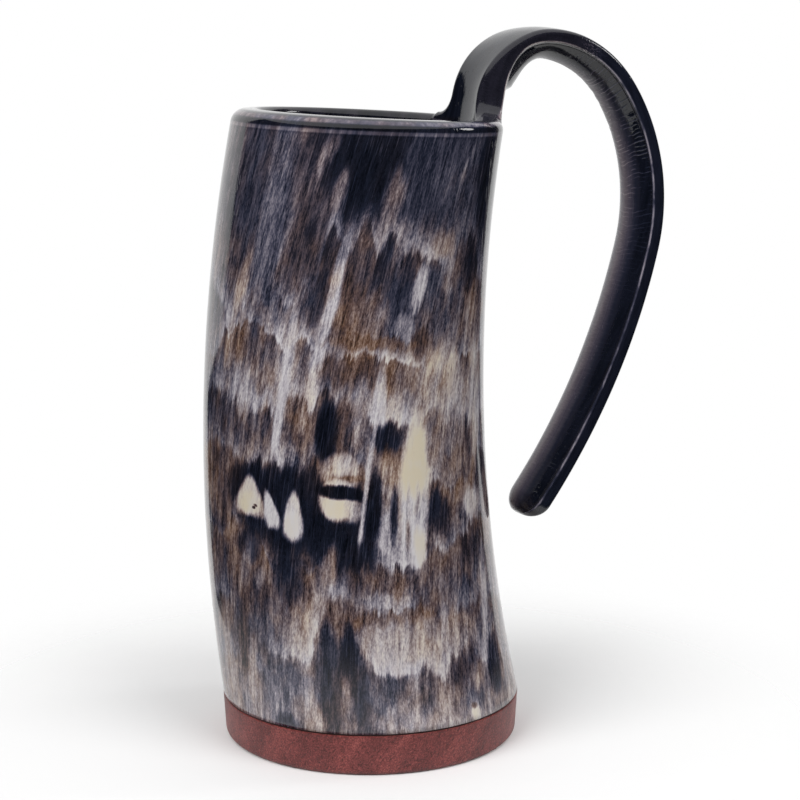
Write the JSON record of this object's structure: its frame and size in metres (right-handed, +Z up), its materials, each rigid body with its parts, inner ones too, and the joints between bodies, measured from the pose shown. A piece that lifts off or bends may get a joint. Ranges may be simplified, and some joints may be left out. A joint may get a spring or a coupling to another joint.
{
  "type": "horn drinking mug",
  "caption": "Drinking mug of marbled polished horn: a slightly bowed cup on a turned wooden base, with the horn's own tip bent over and down as its handle.",
  "frame": {"origin": "middle of the wooden base's underside, on the table", "axes": "+Z up through the cup's mouth, +X from the cup towards its handle, +Y to the side of the handle"},
  "size_m": [0.1287, 0.077, 0.181],
  "materials": {
    "horn": "polished",
    "wood": "oiled",
    "glue": "satin",
    "resin": "gloss",
    "lacquer": "gloss"
  },
  "bodies": {
    "root": {"horn_body": "horn", "wood_base": "wood", "base_glue": "glue", "floor_seal": "resin", "inner_lacquer": "lacquer"}
  },
  "joints": []
}
